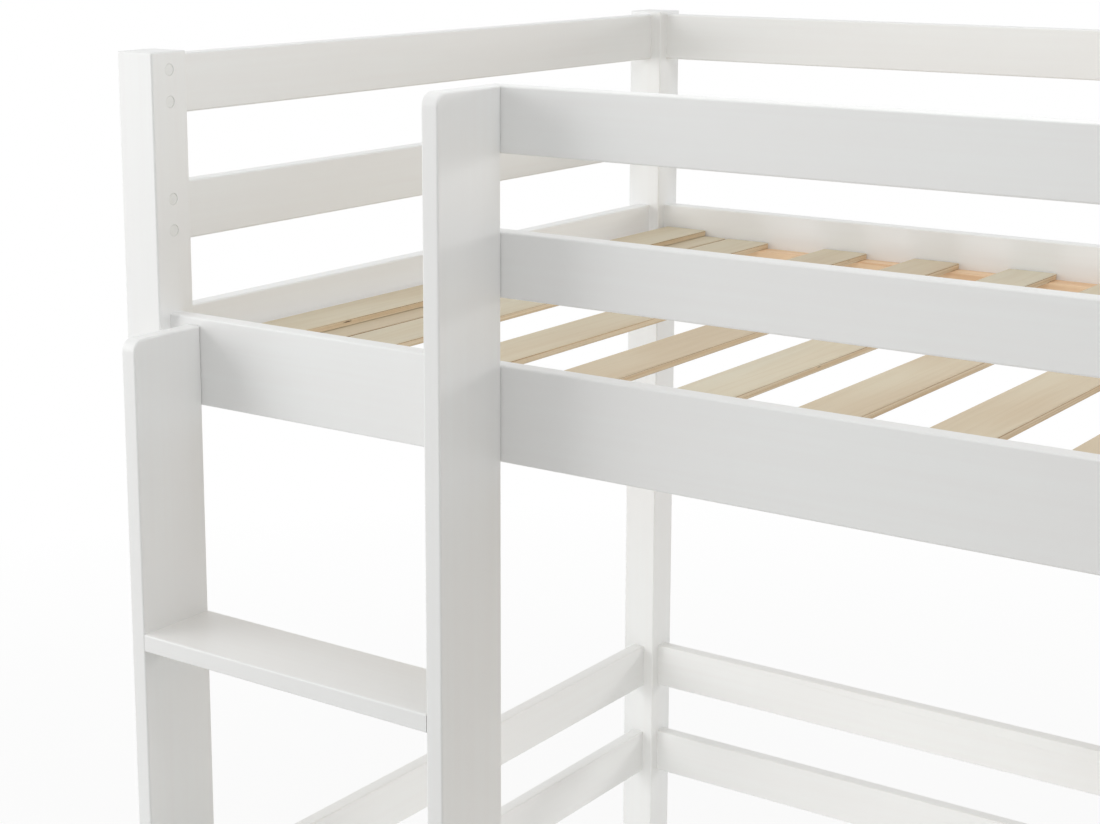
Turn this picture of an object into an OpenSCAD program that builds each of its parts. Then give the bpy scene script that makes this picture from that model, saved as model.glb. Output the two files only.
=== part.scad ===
// L shaped bunk bed. X runs along the upper bed, Y from its front to the wall behind it, Z up.
// Origin: centre of the footprint, on the floor. All sizes in millimetres. Inside the modules X and Y
// count from the outer front left corner of the upper bed, and centred() moves each piece to its place.

/* [Upper frame] */
// Length of the upper bed over its posts
frame_length = 2080; // [1730:10:2500]
// Depth of the upper bed over its posts
frame_depth = 1000; // [830:10:1200]
// Height of the four tall posts
post_height = 1600; // [1330:10:1920]

/* [Timber] */
// Side of the square posts
post_width = 48; // [40:1:60]
// Thickness of every board
board_thickness = 18; // [15:1:22]
// Height of the end, back and guard rails
rail_height = 60; // [50:1:70]
// Height of the side rails that carry the slats
side_rail_height = 90; // [75:1:108]
// Rounding of the boards' long edges
arris = 2; // [1:0.5:4]
// Rounding of the posts' edges
post_arris = 2; // [1:0.5:6]

/* [Rail pattern] */
// Drop from the post tops to the top rails
rail_drop = 4; // [0:1:20]
// Distance from one rail top to the next
rail_pitch = 130; // [110:1:156]
// Drop from the top rails to the upper one of the two low rails
low_group_drop = 900; // [750:10:1000]
// Drop from the top rails to the top guard
guard_drop = 8; // [0:1:14]

/* [Ladder] */
// Gap between the front left post and the left stile
ladder_gap = 23; // [12:1:60]
// Clear width between the stiles
ladder_width = 356; // [300:1:430]
// Depth of the stiles and treads, front to back
stile_depth = 91; // [76:1:110]
// Radius of the stiles' front top corners
stile_corner = 12; // [5:1:30]
// Drop from the side rail's top to the left stile's top
stile_drop = 8; // [0:1:12]
// Drop from the top rails to the top tread
top_tread_drop = 567; // [470:1:700]
// Number of treads, equally spaced down to the floor
tread_count = 4; // [4:1:4]

/* [Lower bed] */
// Length of the lower bed over its foot posts and the back posts
lower_length = 2080; // [1730:10:2500]
// Clear width between the lower side rails
lower_width = 934; // [780:1:1120]

/* [Slats] */
// Width of a slat
slat_width = 62; // [50:1:74]
// Thickness of a slat
slat_thickness = 8; // [7:1:10]
// Wanted spacing of the slats, rounded to suit the bed's length
slat_pitch = 129; // [104:1:154]
// Depth of the slats' tops below the side rails' tops
slat_recess = 38; // [20:1:50]
// Play between a slat's end and the side rail
slat_play = 2; // [1:0.5:5]
// Gap between the post line and the first slat
first_slat_gap = 6; // [3:1:20]
// Gap between the upper bed's second slat and its third
close_slat_gap = 4; // [2:1:10]
// Gap between the upper bed's third slat and its fourth
fourth_slat_gap = 83; // [60:1:100]
// Width of the battens under the slats
batten_width = 25; // [20:1:35]
// Height of the battens
batten_height = 30; // [20:1:36]

/* [Fittings] */
// Shank diameter of the frame bolts
bolt_diameter = 6; // [5:0.5:8]
// Head diameter of the frame bolts
bolt_head_diameter = 14; // [12:0.5:18]
// Thickness of the bolt heads
bolt_head_thickness = 2.5; // [2:0.25:4]
// Diameter of the barrel nuts
barrel_diameter = 10; // [9:0.5:12]
// Distance from a rail's end to its barrel nut
barrel_setback = 35; // [25:1:50]
// Diameter of the insert nuts
insert_diameter = 12; // [10:0.5:14]
// Length of the insert nuts
insert_length = 13; // [10:0.5:14]
// Diameter of the cam fittings in the end frames
cam_diameter = 12; // [10:0.5:15]
// Depth of the cam fittings in the posts
cam_depth = 32; // [30:1:38]
// Spacing of the two cam fittings of one rail end
cam_spacing = 32; // [24:1:36]
// Diameter of the cam pins
cam_pin_diameter = 6; // [5:0.5:7]
// Length of a cam pin inside the rail
cam_pin_embed = 26; // [18:1:35]
// Thickness of the caps that cover the cams
cap_thickness = 1.5; // [1:0.25:3]
// Diameter of the tread dowels
dowel_diameter = 8; // [6:1:10]
// Depth of a tread dowel in the stile
dowel_in_stile = 12; // [8:1:14]
// Depth of a tread dowel in the tread
dowel_in_tread = 20; // [15:1:30]
// Distance of the tread dowels from the tread's edges
dowel_edge = 22; // [15:1:32]
// Shank diameter of the wood screws
screw_diameter = 4.5; // [3.5:0.5:6]
// Head diameter of the wood screws
screw_head_diameter = 9; // [7:0.5:11]
// Wanted spacing of the batten screws
batten_screw_pitch = 300; // [200:10:400]
// Radial clearance round bolts and barrel nuts
running_clearance = 0.25; // [0.1:0.05:0.5]
// Radial clearance of glued and pressed fittings
snug_clearance = 0.05; // [0.02:0.01:0.1]

/* [Hidden] */
$fn = 48;

paint_white = [0.93, 0.93, 0.92];
slat_cream = [0.86, 0.80, 0.68];
pine_tan = [0.88, 0.70, 0.48];
beech_tan = [0.80, 0.63, 0.42];
zinc_grey = [0.72, 0.73, 0.75];

// Boards stand in the middle of the posts' width
rail_inset = (post_width - board_thickness) / 2;
post_centre = post_width / 2;

// Planes of the upper frame
right_post_x = frame_length - post_width;
back_post_y = frame_depth - post_width;
left_rail_x = rail_inset;
right_rail_x = right_post_x + rail_inset;
front_rail_y = rail_inset;
back_rail_y = back_post_y + rail_inset;
bay_length = frame_length - 2 * post_width;

// Heights of the rails' tops
rail_top = post_height - rail_drop;
side_rail_top = rail_top - 2 * rail_pitch;
low_top = rail_top - low_group_drop;
low_side_top = low_top - 2 * rail_pitch;
end_rail_tops = [rail_top, rail_top - rail_pitch, side_rail_top, low_top, low_top - rail_pitch];
guard_tops = [rail_top - guard_drop, rail_top - rail_pitch - guard_drop];

// Ladder
left_stile_x = post_width + ladder_gap;
right_stile_x = left_stile_x + board_thickness + ladder_width;
stile_y = front_rail_y - stile_depth;
tread_x = left_stile_x + board_thickness;
tread_pitch = (rail_top - top_tread_drop) / tread_count;

// Lower bed: its side rails lie on the inner faces of the posts
foot_y = frame_depth - lower_length;
lower_right_x = right_post_x - board_thickness;
lower_left_x = lower_right_x - lower_width - board_thickness;
lower_inner_x = lower_left_x + board_thickness;
lower_post_x = lower_left_x - post_width;
foot_rail_y = foot_y + rail_inset;
head_post_y = back_rail_y - post_width;
lower_post_height = low_top + rail_drop;
lower_bay_start = foot_y + post_width;
lower_bay_length = lower_length - 2 * post_width;

// Slats lie on battens that are fixed inside the side rails
upper_slat_top = side_rail_top - slat_recess;
lower_slat_top = low_side_top - slat_recess;
batten_drop = slat_recess + slat_thickness;
upper_slat_length = back_rail_y - front_rail_y - board_thickness - 2 * slat_play;
lower_slat_length = lower_width - 2 * slat_play;

// Bolt heights: one bolt in a rail, two in a side rail. The upper one lies between the end rail's cams,
// the lower one just above the middle of the wood below them.
rail_bolt_drop = rail_height / 2;
cams_low_edge = rail_bolt_drop + cam_spacing / 2 + cam_diameter / 2;
lower_bolt_raise = 1;
lower_bolt_drop = (cams_low_edge + side_rail_height) / 2 - lower_bolt_raise;
function side_bolt_heights(top) = [top - rail_bolt_drop, top - lower_bolt_drop];
back_bolt_heights = concat(
    [rail_top - rail_bolt_drop, rail_top - rail_pitch - rail_bolt_drop],
    side_bolt_heights(side_rail_top),
    [low_top - rail_bolt_drop, low_top - rail_pitch - rail_bolt_drop]
);
guard_bolt_heights = [rail_top - rail_bolt_drop, rail_top - rail_pitch - rail_bolt_drop];
low_rail_bolt_heights = [low_top - rail_bolt_drop, low_top - rail_pitch - rail_bolt_drop];
lower_side_bolt_heights = side_bolt_heights(low_side_top);
cam_heights = [
    for (top = end_rail_tops, side = [-1, 1]) top - rail_height / 2 + side * cam_spacing / 2
];

// Bolts that end in a barrel nut: [x of the head's seat, direction along X, y, z, grip to the rail's end]
back_bolt_y = frame_depth - post_centre;
foot_bolt_y = foot_y + post_centre;
side_grip = post_width + board_thickness;
barrel_bolts = concat(
    [for (z = back_bolt_heights) [0, 1, back_bolt_y, z, post_width]],
    [for (z = back_bolt_heights) [frame_length, -1, back_bolt_y, z, post_width]],
    [for (z = side_bolt_heights(side_rail_top)) [0, 1, post_centre, z, post_width]],
    [for (z = side_bolt_heights(side_rail_top)) [frame_length, -1, post_centre, z, post_width]],
    [for (z = guard_bolt_heights) [frame_length, -1, post_centre, z, post_width]],
    [for (z = low_rail_bolt_heights) [lower_post_x, 1, foot_bolt_y, z, post_width]],
    [for (z = low_rail_bolt_heights) [frame_length, -1, foot_bolt_y, z, post_width]],
    [for (z = lower_side_bolt_heights) [lower_post_x, 1, foot_bolt_y, z, side_grip]],
    [for (z = lower_side_bolt_heights) [frame_length, -1, foot_bolt_y, z, side_grip]],
    [for (z = lower_side_bolt_heights) [lower_left_x, 1, back_bolt_y, z, board_thickness]],
    [for (z = lower_side_bolt_heights) [frame_length, -1, back_bolt_y, z, side_grip]]
);
// Bolts through a post into an insert nut in the lower side rails: [x of the head's seat, direction, y, z]
head_post_bolt_y = head_post_y + post_centre;
insert_bolts = concat(
    [for (z = lower_side_bolt_heights) [frame_length, -1, post_centre, z]],
    [for (z = lower_side_bolt_heights) [lower_post_x, 1, head_post_bolt_y, z]]
);
// Bolts through the head post into insert nuts in the low back rails
head_post_bolt_x = lower_post_x + post_centre;

bolt_radius = bolt_diameter / 2;
bolt_bore_radius = bolt_radius + running_clearance;
barrel_radius = barrel_diameter / 2;
// A bolt's end passes its barrel nut by this much
bolt_run_past = 4;
barrel_reach = barrel_setback + barrel_radius + bolt_run_past;
// Barrel nuts lie this far below the face that they go in from, and stop short of the other face
barrel_sink = 1;
barrel_blind_wall = 3;
barrel_length = board_thickness - barrel_sink - barrel_blind_wall;
insert_radius = insert_diameter / 2;
cam_radius = cam_diameter / 2;
cam_pin_radius = cam_pin_diameter / 2;
dowel_radius = dowel_diameter / 2;
dowel_rows = [dowel_edge, stile_depth - dowel_edge];
screw_radius = screw_diameter / 2;
screw_head_radius = screw_head_diameter / 2;
screw_head_depth = 3;
// Depth of the screws' points in the wood that they hold
ladder_screw_bite = 35;
ladder_screw_length = board_thickness + ladder_screw_bite;
batten_screw_bite = 12;
batten_screw_length = batten_width + batten_screw_bite;
// A cut runs this far past the face that it opens
overcut = 1;
// A blind bore is this much deeper than what goes into it
end_play = 1;
bolt_head_rounding = 1;
// Hexagonal socket in the bolts' heads, over its corners
driver_socket_radius = 2.3;
driver_socket_depth = 1.8;
// Cross in the screws' heads
driver_cross_length = screw_head_radius;
driver_cross_width = 1.1;
driver_cross_depth = 1.6;
// Slot in the barrel nuts' outer ends
driver_slot_width = 1.2;
driver_slot_depth = 1.5;
// Rounding of the slats' and battens' long edges
lath_arris = 1;

// ---- shapes shared by several pieces ----

// Moves a piece from the upper bed's corner to the centre of the footprint
module centred() {
    translate([-frame_length / 2, -(frame_depth + foot_y) / 2, 0]) children();
}

// Rectangle with rounded corners, from the origin
module rounded_profile(width, height, radius) {
    translate([radius, 0]) square([width - 2 * radius, height]);
    translate([0, radius]) square([width, height - 2 * radius]);
    for (x = [radius, width - radius], y = [radius, height - radius])
        translate([x, y]) circle(r = radius);
}

// Board along X with its top at the given height
module board_along_x(x, y, top, length, height) {
    translate([x, y, top - height]) rotate([90, 0, 90])
        linear_extrude(length) rounded_profile(board_thickness, height, arris);
}

// Board along Y with its top at the given height
module board_along_y(x, y, top, length, height) {
    translate([x, y + length, top - height]) rotate([90, 0, 0])
        linear_extrude(length) rounded_profile(board_thickness, height, arris);
}

// Square post, rounded on every edge
module post_blank(x, y, height) {
    translate([x, y, 0]) intersection() {
        linear_extrude(height) rounded_profile(post_width, post_width, post_arris);
        rotate([90, 0, 90]) linear_extrude(post_width) rounded_profile(post_width, height, post_arris);
        translate([0, post_width, 0]) rotate([90, 0, 0])
            linear_extrude(post_width) rounded_profile(post_width, height, post_arris);
    }
}

// Turns a shape that stands on Z so that it points along X or Y
module point_along_x(x, y, z, direction) {
    translate([x, y, z]) rotate([0, 90 * direction, 0]) children();
}
module point_along_y(x, y, z, direction) {
    translate([x, y, z]) rotate([-90 * direction, 0, 0]) children();
}

// Bolt bores right through a post, along X
module post_bolt_bores(x, y, heights) {
    for (z = heights)
        point_along_x(x - overcut, y, z, 1)
            cylinder(r = bolt_bore_radius, h = post_width + 2 * overcut);
}

// Bores for the cams, from the post's inner face, and for their pins, from the face that the rails meet
module post_cam_bores(inner_x, into_post, pin_face_y, pin_direction) {
    for (z = cam_heights) {
        point_along_x(inner_x - into_post * overcut, pin_face_y + pin_direction * post_centre, z, into_post)
            cylinder(r = cam_radius + snug_clearance, h = cam_depth + overcut);
        pin_start_y = pin_face_y - pin_direction * overcut;
        point_along_y(inner_x + into_post * post_centre, pin_start_y, z, pin_direction)
            cylinder(r = cam_pin_radius + running_clearance, h = post_centre + overcut);
    }
}

// Bolt and barrel nut bores at one end of a board along X
module barrel_bores(end_x, direction, y, heights) {
    for (z = heights) {
        point_along_x(end_x - direction * overcut, y + board_thickness / 2, z, direction)
            cylinder(r = bolt_bore_radius, h = barrel_reach + end_play + overcut);
        point_along_y(end_x + direction * barrel_setback, y + board_thickness + overcut, z, -1)
            cylinder(r = barrel_radius + running_clearance, h = barrel_length + barrel_sink + overcut);
    }
}

// Bore through a lower side rail for the bolts of the rails that meet it
module side_rail_bolt_bores(x, y) {
    for (z = lower_side_bolt_heights)
        point_along_x(x - overcut, y, z, 1)
            cylinder(r = bolt_bore_radius, h = board_thickness + 2 * overcut);
}

module insert_bores(x, y, direction, heights) {
    for (z = heights)
        point_along_x(x - direction * overcut, y, z, direction)
            cylinder(r = insert_radius + snug_clearance, h = insert_length + end_play + overcut);
}

// Countersunk screw standing on Z, head at the origin and point below it. Only the screw itself has the
// cross for a driver, its bore has a clearance instead.
module screw_shape(length, clearance) {
    head_radius = screw_head_radius + clearance;
    shank_radius = screw_radius + clearance;
    difference() {
        rotate_extrude() polygon([
            [0, 0], [head_radius, 0], [shank_radius, -screw_head_depth],
            [shank_radius, -length + screw_diameter], [0, -length - clearance]
        ]);
        if (clearance == 0) for (turn = [0, 90]) rotate([0, 0, turn])
            translate([-driver_cross_length / 2, -driver_cross_width / 2, -driver_cross_depth])
                cube([driver_cross_length, driver_cross_width, driver_cross_depth + overcut]);
    }
}

// Frame bolt standing on Z: flat round head with a hexagonal socket below the origin, shank above it
module bolt_shape(length) {
    head_radius = bolt_head_diameter / 2;
    rounding = bolt_head_rounding;
    difference() {
        rotate_extrude() difference() {
            union() {
                translate([0, -bolt_head_thickness])
                    square([head_radius - rounding, bolt_head_thickness]);
                translate([0, rounding - bolt_head_thickness])
                    square([head_radius, bolt_head_thickness - rounding]);
                translate([head_radius - rounding, rounding - bolt_head_thickness]) circle(r = rounding);
                translate([0, -rounding]) square([bolt_radius, length + rounding]);
            }
            translate([-head_radius, -head_radius]) square([head_radius, length + 2 * head_radius]);
        }
        translate([0, 0, -bolt_head_thickness - overcut]) linear_extrude(overcut + driver_socket_depth)
            polygon([for (turn = [0:60:300]) driver_socket_radius * [cos(turn), sin(turn)]]);
    }
}

// Slat centres along a bay. The upper bed's first slat lies half on its second one, the third lies
// close to that, and the others are evenly spaced, as all of the lower bed's are.
first_slat = first_slat_gap + slat_width / 2;
second_slat = first_slat + slat_width / 2;
third_slat = second_slat + slat_width + close_slat_gap;
fourth_slat = third_slat + slat_width + fourth_slat_gap;
function even_slats(start, bay) = let (
    run = bay - first_slat - start,
    steps = round(run / slat_pitch)
) [for (i = [0:steps]) start + i * run / steps];

// Screw places along a batten
batten_screw_margin = 75;
function screw_places(start, length) = let (
    run = length - 2 * batten_screw_margin,
    steps = round(run / batten_screw_pitch)
) [for (i = [0:steps]) start + batten_screw_margin + i * run / steps];

// ---- posts ----

module front_left_post() {
    color(paint_white) difference() {
        post_blank(0, 0, post_height);
        post_bolt_bores(0, post_centre, side_bolt_heights(side_rail_top));
        post_cam_bores(post_width, -1, post_width, -1);
    }
}

module front_right_post() {
    color(paint_white) difference() {
        post_blank(right_post_x, 0, post_height);
        post_bolt_bores(right_post_x, post_centre, side_bolt_heights(side_rail_top));
        post_bolt_bores(right_post_x, post_centre, guard_bolt_heights);
        post_bolt_bores(right_post_x, post_centre, lower_side_bolt_heights);
        post_cam_bores(right_post_x, 1, post_width, -1);
    }
}

module back_left_post() {
    color(paint_white) difference() {
        post_blank(0, back_post_y, post_height);
        post_bolt_bores(0, back_bolt_y, back_bolt_heights);
        post_cam_bores(post_width, -1, back_post_y, 1);
    }
}

module back_right_post() {
    color(paint_white) difference() {
        post_blank(right_post_x, back_post_y, post_height);
        post_bolt_bores(right_post_x, back_bolt_y, back_bolt_heights);
        post_bolt_bores(right_post_x, back_bolt_y, lower_side_bolt_heights);
        post_cam_bores(right_post_x, 1, back_post_y, 1);
    }
}

module head_post() {
    color(paint_white) difference() {
        post_blank(lower_post_x, head_post_y, lower_post_height);
        post_bolt_bores(lower_post_x, head_post_bolt_y, lower_side_bolt_heights);
        for (z = low_rail_bolt_heights)
            point_along_y(head_post_bolt_x, head_post_y - overcut, z, 1)
                cylinder(r = bolt_bore_radius, h = post_width + 2 * overcut);
    }
}

module foot_post(x) {
    color(paint_white) difference() {
        post_blank(x, foot_y, lower_post_height);
        post_bolt_bores(x, foot_bolt_y, low_rail_bolt_heights);
        post_bolt_bores(x, foot_bolt_y, lower_side_bolt_heights);
    }
}

module foot_left_post() { foot_post(lower_post_x); }
module foot_right_post() { foot_post(right_post_x); }

// ---- end frames ----

// Rail between a front and a back post, with its cam pin bores
module end_rail(x, top) {
    length = back_post_y - post_width;
    color(paint_white) difference() {
        board_along_y(x, post_width, top, length, rail_height);
        for (side = [-1, 1]) {
            z = top - rail_height / 2 + side * cam_spacing / 2;
            point_along_y(x + board_thickness / 2, post_width - overcut, z, 1)
                cylinder(r = cam_pin_radius + snug_clearance, h = cam_pin_embed + end_play + overcut);
            point_along_y(x + board_thickness / 2, back_post_y + overcut, z, -1)
                cylinder(r = cam_pin_radius + snug_clearance, h = cam_pin_embed + end_play + overcut);
        }
    }
}

module left_top_rail() { end_rail(left_rail_x, end_rail_tops[0]); }
module left_middle_rail() { end_rail(left_rail_x, end_rail_tops[1]); }
module left_bed_rail() { end_rail(left_rail_x, end_rail_tops[2]); }
module left_low_top_rail() { end_rail(left_rail_x, end_rail_tops[3]); }
module left_low_middle_rail() { end_rail(left_rail_x, end_rail_tops[4]); }
module right_top_rail() { end_rail(right_rail_x, end_rail_tops[0]); }
module right_middle_rail() { end_rail(right_rail_x, end_rail_tops[1]); }
module right_bed_rail() { end_rail(right_rail_x, end_rail_tops[2]); }
module right_low_top_rail() { end_rail(right_rail_x, end_rail_tops[3]); }
module right_low_middle_rail() { end_rail(right_rail_x, end_rail_tops[4]); }

// ---- long rails of the upper frame ----

// Rail between the back posts, bolted at both ends
module back_rail(top, height, bolt_heights) {
    color(paint_white) difference() {
        board_along_x(post_width, back_rail_y, top, bay_length, height);
        barrel_bores(post_width, 1, back_rail_y, bolt_heights);
        barrel_bores(right_post_x, -1, back_rail_y, bolt_heights);
        children();
    }
}

// Insert nut bore for the head post's bolt, from the rail's front face
module head_post_insert_bore(z) {
    point_along_y(head_post_bolt_x, back_rail_y - overcut, z, 1)
        cylinder(r = insert_radius + snug_clearance, h = insert_length + end_play + overcut);
}

module back_top_rail() { back_rail(rail_top, rail_height, [guard_bolt_heights[0]]); }
module back_middle_rail() {
    back_rail(rail_top - rail_pitch, rail_height, [guard_bolt_heights[1]]);
}
module back_side_rail() {
    difference() {
        back_rail(side_rail_top, side_rail_height, side_bolt_heights(side_rail_top));
        upper_batten_screws(back_rail_y - batten_width, -1, snug_clearance);
    }
}
module back_low_top_rail() {
    back_rail(low_top, rail_height, [low_rail_bolt_heights[0]])
        head_post_insert_bore(low_rail_bolt_heights[0]);
}
module back_low_middle_rail() {
    back_rail(low_top - rail_pitch, rail_height, [low_rail_bolt_heights[1]])
        head_post_insert_bore(low_rail_bolt_heights[1]);
}

module front_side_rail() {
    heights = side_bolt_heights(side_rail_top);
    color(paint_white) difference() {
        board_along_x(post_width, front_rail_y, side_rail_top, bay_length, side_rail_height);
        barrel_bores(post_width, 1, front_rail_y, heights);
        barrel_bores(right_post_x, -1, front_rail_y, heights);
        ladder_screw_set(snug_clearance);
        upper_batten_screws(front_rail_y + board_thickness + batten_width, 1, snug_clearance);
    }
}

// Guard rail from the right stile's back edge to the front right post
module guard_rail(index) {
    length = right_post_x - right_stile_x;
    color(paint_white) difference() {
        board_along_x(right_stile_x, front_rail_y, guard_tops[index], length, rail_height);
        barrel_bores(right_post_x, -1, front_rail_y, [guard_bolt_heights[index]]);
        ladder_screw_set(snug_clearance);
    }
}

module guard_top_rail() { guard_rail(0); }
module guard_middle_rail() { guard_rail(1); }

// ---- ladder ----

// Stile on edge: every edge rounded, with a larger round at its front top corner
module stile_blank(top) {
    union() {
        linear_extrude(top - stile_corner) rounded_profile(board_thickness, stile_depth, arris);
        intersection() {
            translate([0, stile_corner, 0]) cube([board_thickness, stile_depth - stile_corner, top]);
            linear_extrude(top) rounded_profile(board_thickness, stile_depth, arris);
            translate([0, stile_depth, 0]) rotate([90, 0, 0])
                linear_extrude(stile_depth) rounded_profile(board_thickness, top, arris);
            rotate([90, 0, 90]) linear_extrude(board_thickness) rounded_profile(stile_depth, top, arris);
        }
        translate([0, stile_corner, top - stile_corner]) rotate([0, 90, 0]) rotate([0, 0, 180])
            rotate_extrude(angle = 90) intersection() {
                square([stile_corner, board_thickness]);
                translate([-stile_corner, 0]) rounded_profile(2 * stile_corner, board_thickness, arris);
            }
    }
}

// Blind bores for the tread dowels, from the stile's inner face
module stile_dowel_bores(face_x, direction) {
    for (i = [1:tread_count], row = dowel_rows) {
        z = i * tread_pitch - board_thickness / 2;
        point_along_x(face_x - direction * overcut, stile_y + row, z, direction)
            cylinder(r = dowel_radius + snug_clearance, h = dowel_in_stile + overcut);
    }
}

module ladder_left_stile() {
    color(paint_white) difference() {
        translate([left_stile_x, stile_y, 0]) stile_blank(side_rail_top - stile_drop);
        stile_dowel_bores(tread_x, -1);
        ladder_screw_set(snug_clearance);
    }
}

module ladder_right_stile() {
    color(paint_white) difference() {
        translate([right_stile_x, stile_y, 0]) stile_blank(guard_tops[0]);
        stile_dowel_bores(right_stile_x, 1);
        ladder_screw_set(snug_clearance);
    }
}

// Board tread between the stiles, flush with them front and back
module ladder_tread(number) {
    top = number * tread_pitch;
    color(paint_white) difference() {
        translate([tread_x, stile_y, top - board_thickness]) rotate([90, 0, 90])
            linear_extrude(ladder_width) rounded_profile(stile_depth, board_thickness, arris);
        for (row = dowel_rows) {
            point_along_x(tread_x - overcut, stile_y + row, top - board_thickness / 2, 1)
                cylinder(r = dowel_radius + snug_clearance, h = dowel_in_tread + overcut);
            point_along_x(right_stile_x + overcut, stile_y + row, top - board_thickness / 2, -1)
                cylinder(r = dowel_radius + snug_clearance, h = dowel_in_tread + overcut);
        }
    }
}

module ladder_tread_1() { ladder_tread(1); }
module ladder_tread_2() { ladder_tread(2); }
module ladder_tread_3() { ladder_tread(3); }
module ladder_tread_4() { ladder_tread(4); }

// ---- slats and battens ----

module batten_profile() {
    rounded_profile(batten_width, batten_height, lath_arris);
}

// Batten between the upper posts, on the inner face of a side rail
module upper_batten(y, face_y, direction) {
    color(pine_tan) difference() {
        translate([post_width, y, side_rail_top - batten_drop - batten_height]) rotate([90, 0, 90])
            linear_extrude(bay_length) batten_profile();
        upper_batten_screws(face_y, direction, snug_clearance);
    }
}

module upper_front_batten() {
    rail_face = front_rail_y + board_thickness;
    upper_batten(rail_face, rail_face + batten_width, 1);
}
module upper_back_batten() {
    upper_batten(back_rail_y - batten_width, back_rail_y - batten_width, -1);
}

// Batten inside a lower side rail, from the foot rail to the head rail
lower_batten_start = foot_rail_y + board_thickness;
lower_batten_length = back_rail_y - lower_batten_start;
module lower_batten(x, face_x, direction) {
    color(pine_tan) difference() {
        translate([x, back_rail_y, low_side_top - batten_drop - batten_height]) rotate([90, 0, 0])
            linear_extrude(lower_batten_length) batten_profile();
        lower_batten_screws(face_x, direction, snug_clearance);
    }
}
module lower_left_batten() {
    lower_batten(lower_inner_x, lower_inner_x + batten_width, 1);
}
module lower_right_batten() {
    lower_batten(lower_right_x - batten_width, lower_right_x - batten_width, -1);
}

// Laminated slat along Y, centred on X = 0, its top at Z = 0
module slat(length) {
    translate([-slat_width / 2, length, -slat_thickness]) rotate([90, 0, 0])
        linear_extrude(length) rounded_profile(slat_width, slat_thickness, lath_arris);
}

module upper_slat(centre, lift) {
    translate([post_width + centre, front_rail_y + board_thickness + slat_play, upper_slat_top + lift])
        slat(upper_slat_length);
}

module upper_slats() {
    color(slat_cream)
        for (centre = concat([second_slat, third_slat], even_slats(fourth_slat, bay_length)))
            upper_slat(centre, 0);
}

module upper_lapped_slat() {
    color(slat_cream) upper_slat(first_slat, slat_thickness);
}

module lower_slats() {
    color(slat_cream) for (y = even_slats(first_slat, lower_bay_length))
        translate([lower_right_x - slat_play, lower_bay_start + y, lower_slat_top])
            rotate([0, 0, 90]) slat(lower_slat_length);
}

// ---- lower bed ----

lower_side_start = foot_rail_y;
lower_side_length = back_rail_y + board_thickness - lower_side_start;

module lower_left_side_rail() {
    color(paint_white) difference() {
        board_along_y(lower_left_x, lower_side_start, low_side_top, lower_side_length, side_rail_height);
        side_rail_bolt_bores(lower_left_x, foot_bolt_y);
        side_rail_bolt_bores(lower_left_x, back_bolt_y);
        insert_bores(lower_left_x, head_post_bolt_y, 1, lower_side_bolt_heights);
        lower_batten_screws(lower_inner_x + batten_width, 1, snug_clearance);
    }
}

module lower_right_side_rail() {
    color(paint_white) difference() {
        board_along_y(lower_right_x, lower_side_start, low_side_top, lower_side_length, side_rail_height);
        side_rail_bolt_bores(lower_right_x, foot_bolt_y);
        side_rail_bolt_bores(lower_right_x, back_bolt_y);
        insert_bores(right_post_x, post_centre, -1, lower_side_bolt_heights);
        lower_batten_screws(lower_right_x - batten_width, -1, snug_clearance);
    }
}

// Plank between the lower side rails
module lower_end_plank(y) {
    color(paint_white) difference() {
        board_along_x(lower_inner_x, y, low_side_top, lower_width, side_rail_height);
        barrel_bores(lower_inner_x, 1, y, lower_side_bolt_heights);
        barrel_bores(lower_right_x, -1, y, lower_side_bolt_heights);
    }
}

module lower_head_rail() { lower_end_plank(back_rail_y); }
module foot_bed_rail() { lower_end_plank(foot_rail_y); }

// Rail between the foot posts
module foot_rail(index) {
    start = lower_post_x + post_width;
    color(paint_white) difference() {
        board_along_x(start, foot_rail_y, low_top - index * rail_pitch, right_post_x - start, rail_height);
        barrel_bores(start, 1, foot_rail_y, [low_rail_bolt_heights[index]]);
        barrel_bores(right_post_x, -1, foot_rail_y, [low_rail_bolt_heights[index]]);
    }
}

module foot_top_rail() { foot_rail(0); }
module foot_middle_rail() { foot_rail(1); }

// ---- fittings, each kind as one group ----

module frame_bolts() {
    color(zinc_grey) {
        for (b = barrel_bolts)
            point_along_x(b[0], b[2], b[3], b[1]) bolt_shape(b[4] + barrel_reach);
        for (b = insert_bolts)
            point_along_x(b[0], b[2], b[3], b[1]) bolt_shape(post_width + insert_length);
        for (z = low_rail_bolt_heights)
            point_along_y(head_post_bolt_x, head_post_y, z, 1) bolt_shape(post_width + insert_length);
    }
}

// Cross bored barrel nuts, each with a slot that lies along its bore
module barrel_nuts() {
    color(zinc_grey) for (b = barrel_bolts) {
        x = b[0] + b[1] * (b[4] + barrel_setback);
        face_y = b[2] + board_thickness / 2 - barrel_sink;
        difference() {
            point_along_y(x, face_y, b[3], -1) cylinder(r = barrel_radius, h = barrel_length);
            point_along_x(x - barrel_diameter, b[2], b[3], 1)
                cylinder(r = bolt_radius + snug_clearance, h = 2 * barrel_diameter);
            translate([x - barrel_diameter, face_y - driver_slot_depth, b[3] - driver_slot_width / 2])
                cube([2 * barrel_diameter, driver_slot_depth + overcut, driver_slot_width]);
        }
    }
}

module insert_nut() {
    difference() {
        cylinder(r = insert_radius, h = insert_length);
        translate([0, 0, -overcut])
            cylinder(r = bolt_radius + snug_clearance, h = insert_length + 2 * overcut);
    }
}

module insert_nuts() {
    color(zinc_grey) {
        for (b = insert_bolts)
            point_along_x(b[0] + b[1] * post_width, b[2], b[3], b[1]) insert_nut();
        for (z = low_rail_bolt_heights)
            point_along_y(head_post_bolt_x, back_rail_y, z, 1) insert_nut();
    }
}

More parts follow.
